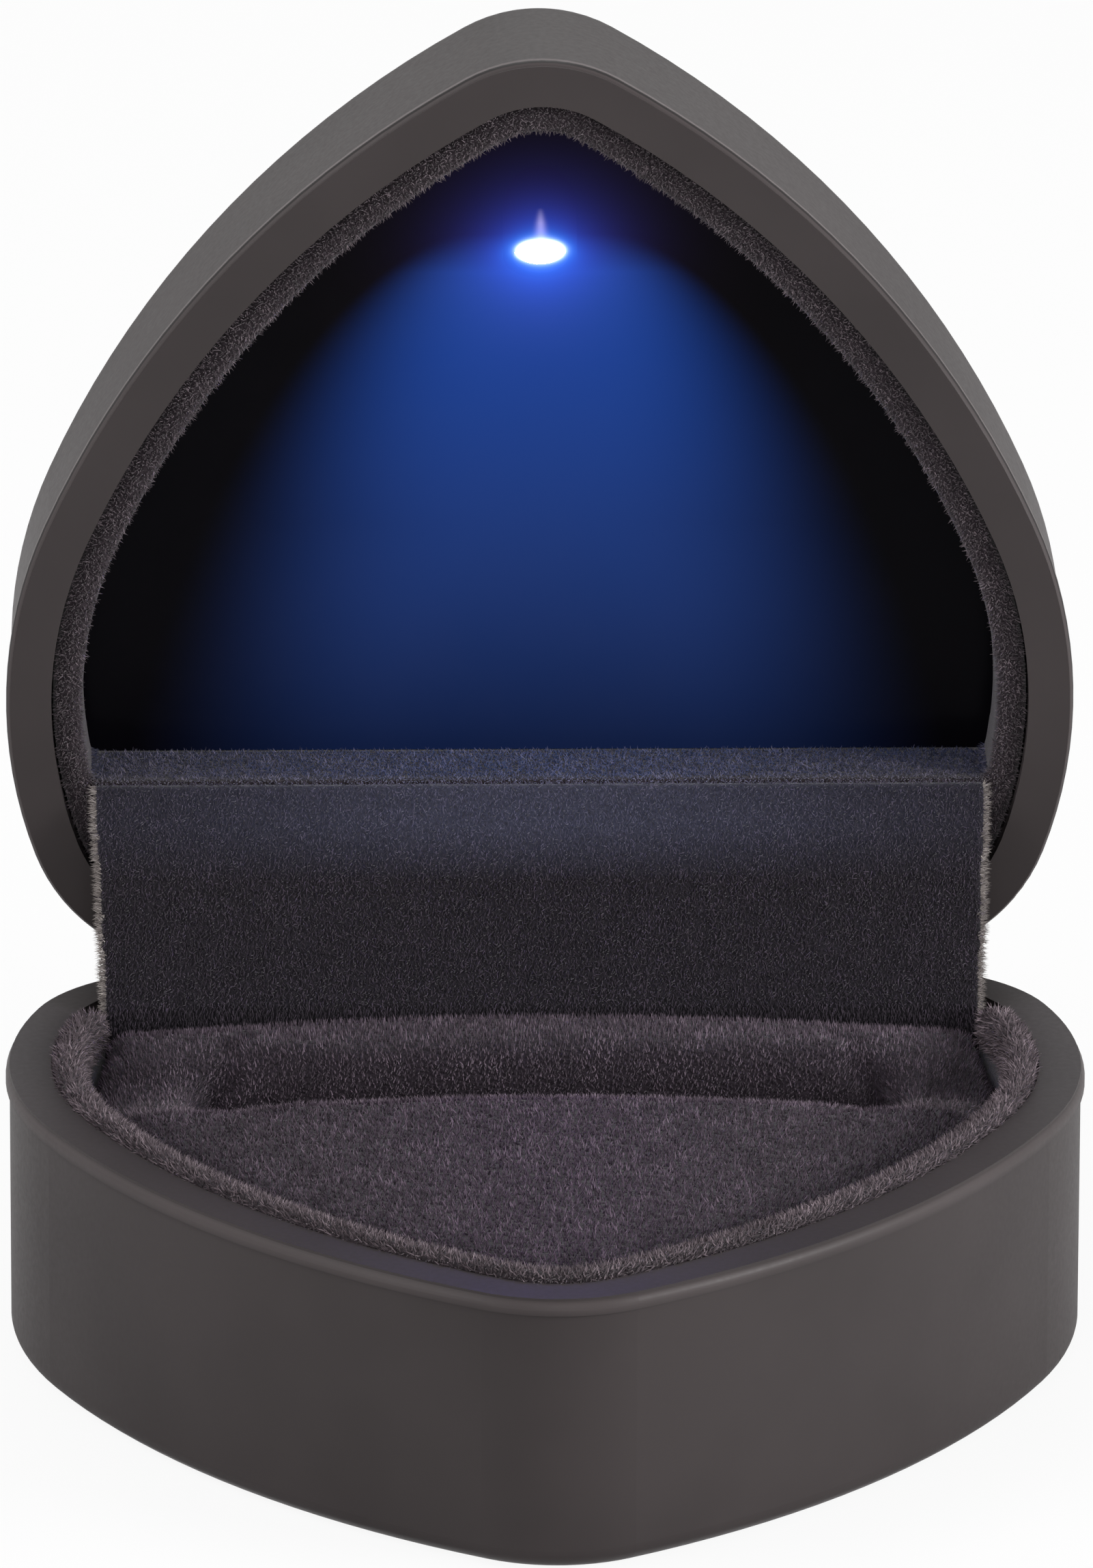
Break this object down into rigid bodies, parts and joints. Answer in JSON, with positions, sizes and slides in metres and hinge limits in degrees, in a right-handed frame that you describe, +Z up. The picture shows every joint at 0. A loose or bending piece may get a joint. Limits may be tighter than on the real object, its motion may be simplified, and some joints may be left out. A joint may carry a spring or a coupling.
{
  "type": "ring display box",
  "caption": "Tipped, round-cornered ring box standing open: lacquered base and sprung lid, velvet cushions with a ring slot, and a lamp with its own cell and switch in the lid.",
  "frame": {"origin": "on the resting face, on the centre plane, under the widest line of the base's outline", "axes": "+Z up from the resting face, +Y to the hinge side, +X to the right seen from the front tip; the lid stands open at a right angle"},
  "size_m": [0.078, 0.0853, 0.0895],
  "materials": {
    "shell_lacquer": "soft-touch satin lacquer, charcoal",
    "velvet_band": "cut-pile velvet, warm charcoal",
    "velvet_cushion": "cut-pile velvet, charcoal",
    "velvet_flap": "cut-pile velvet, dark charcoal",
    "felt": "black felt",
    "card": "grey card",
    "black_gloss": "polished black acrylic",
    "black_trim": "black moulded plastic",
    "lamp_lens": "clear moulded lens, lit",
    "circuit_board": "green solder mask",
    "hinge_steel": "nickel-plated sheet steel",
    "screw_steel": "nickel-plated steel",
    "spring_wire": "spring wire",
    "cell_steel": "stainless can",
    "contact_metal": "tinned spring brass",
    "plunger_plastic": "natural nylon",
    "lead_red": "red wire insulation",
    "lead_black": "black wire insulation"
  },
  "bodies": {
    "base": {"base_shell": "shell_lacquer", "underside_pad": "felt", "cushion_board": "card", "base_liner": "velvet_band", "cushion_front": "velvet_cushion", "cushion_rear": "velvet_cushion", "hinge_flap": "velvet_flap", "hinge_leaf_base": "hinge_steel", "hinge_screws_base": "screw_steel", "hinge_pin": "screw_steel", "hinge_springs": "spring_wire"},
    "lid": {"hinge_leaf_lid": "hinge_steel", "hinge_screws_lid": "screw_steel", "lid_shell": "shell_lacquer", "lid_liner": "velvet_band", "light_panel": "black_gloss", "led_hood": "black_trim", "led_lens": "lamp_lens", "led_board": "circuit_board", "cell_holder": "black_trim", "coin_cell": "cell_steel", "cell_contacts": "contact_metal", "switch_body": "black_trim", "lead_cell_switch": "lead_red", "lead_switch_lamp": "lead_red", "lead_cell_lamp": "lead_black"},
    "plunger": {"switch_plunger": "plunger_plastic"}
  },
  "joints": [
    {"name": "lid_hinge", "type": "hinge", "parent": "base", "child": "lid", "pos_m": [0, 0.02018, 0.0204], "axis": [1, 0, 0], "range_deg": [0, 90], "deforming": ["hinge_flap", "hinge_springs"]},
    {"name": "switch_travel", "type": "slide", "parent": "lid", "child": "plunger", "axis": [0, 1, 0], "range_m": [0, 0.0012]}
  ],
  "couplings": [
    {"joint": "switch_travel", "follows": "lid_hinge", "m_per_rad": 0.00076394}
  ]
}
